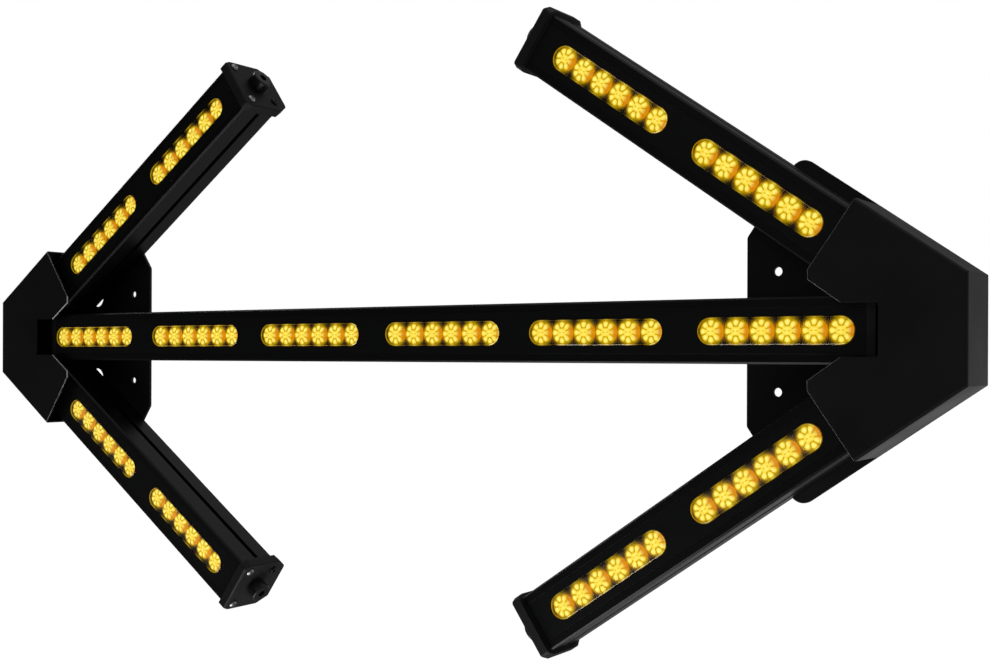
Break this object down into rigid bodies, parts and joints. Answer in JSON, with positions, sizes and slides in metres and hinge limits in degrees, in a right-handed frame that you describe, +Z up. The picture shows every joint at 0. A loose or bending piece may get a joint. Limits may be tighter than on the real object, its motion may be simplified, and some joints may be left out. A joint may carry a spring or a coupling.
{
  "type": "arrow board light head",
  "caption": "Double-headed arrow light head: lit amber lamp bars joined by a folded cover and back plate at each arrowhead, bolted to a frame from behind.",
  "frame": {"origin": "centre of the rectangle of mounting holes, on the rear faces of the back plates", "axes": "+X along the arrow, +Y to the rear, away from the lamps, +Z up"},
  "size_m": [1.03, 0.065, 0.5302],
  "materials": {
    "anodised_bar": "black anodised",
    "face_panel": "black anodised, satin",
    "lens": "clear moulded polycarbonate",
    "optic": "clear moulded acrylic",
    "board": "solder-masked circuit board",
    "led": "amber epoxy, lit",
    "gasket": "matt",
    "bright_screw": "stainless steel",
    "dark_fastener": "black zinc plated",
    "black_plastic": "moulded nylon",
    "cap_plastic": "fine moulded texture",
    "plate_steel": "black powder coat",
    "cover_steel": "black powder coat, satin",
    "driver_case": "moulded",
    "lead_sheath": "matt"
  },
  "bodies": {
    "root": {"bar_screws": "dark_fastener", "blanking_plugs": "black_plastic", "cable_glands": "black_plastic", "centre_face_panel": "face_panel", "centre_housing": "anodised_bar", "centre_led_boards": "board", "centre_leds": "led", "centre_left_cap": "cap_plastic", "centre_optics": "optic", "centre_right_cap": "cap_plastic", "centre_window_lenses": "lens", "clinch_nuts": "dark_fastener", "cover_screws": "dark_fastener", "driver_screws": "dark_fastener", "inner_cap_gaskets": "gasket", "inner_cap_screws": "dark_fastener", "left_back_plate": "plate_steel", "left_driver_module": "driver_case", "left_head_cover": "cover_steel", "left_leads": "lead_sheath", "lower_left_face_panel": "face_panel", "lower_left_housing": "anodised_bar", "lower_left_inner_cap": "cap_plastic", "lower_left_led_boards": "board", "lower_left_leds": "led", "lower_left_optics": "optic", "lower_left_outer_cap": "cap_plastic", "lower_left_window_lenses": "lens", "lower_right_face_panel": "face_panel", "lower_right_housing": "anodised_bar", "lower_right_inner_cap": "cap_plastic", "lower_right_led_boards": "board", "lower_right_leds": "led", "lower_right_optics": "optic", "lower_right_outer_cap": "cap_plastic", "lower_right_window_lenses": "lens", "outer_cap_gaskets": "gasket", "outer_cap_screws": "bright_screw", "plug_seals": "gasket", "right_back_plate": "plate_steel", "right_driver_module": "driver_case", "right_head_cover": "cover_steel", "right_leads": "lead_sheath", "slot_nuts": "dark_fastener", "upper_left_face_panel": "face_panel", "upper_left_housing": "anodised_bar", "upper_left_inner_cap": "cap_plastic", "upper_left_led_boards": "board", "upper_left_leds": "led", "upper_left_optics": "optic", "upper_left_outer_cap": "cap_plastic", "upper_left_window_lenses": "lens", "upper_right_face_panel": "face_panel", "upper_right_housing": "anodised_bar", "upper_right_inner_cap": "cap_plastic", "upper_right_led_boards": "board", "upper_right_leds": "led", "upper_right_optics": "optic", "upper_right_outer_cap": "cap_plastic", "upper_right_window_lenses": "lens"}
  },
  "joints": []
}
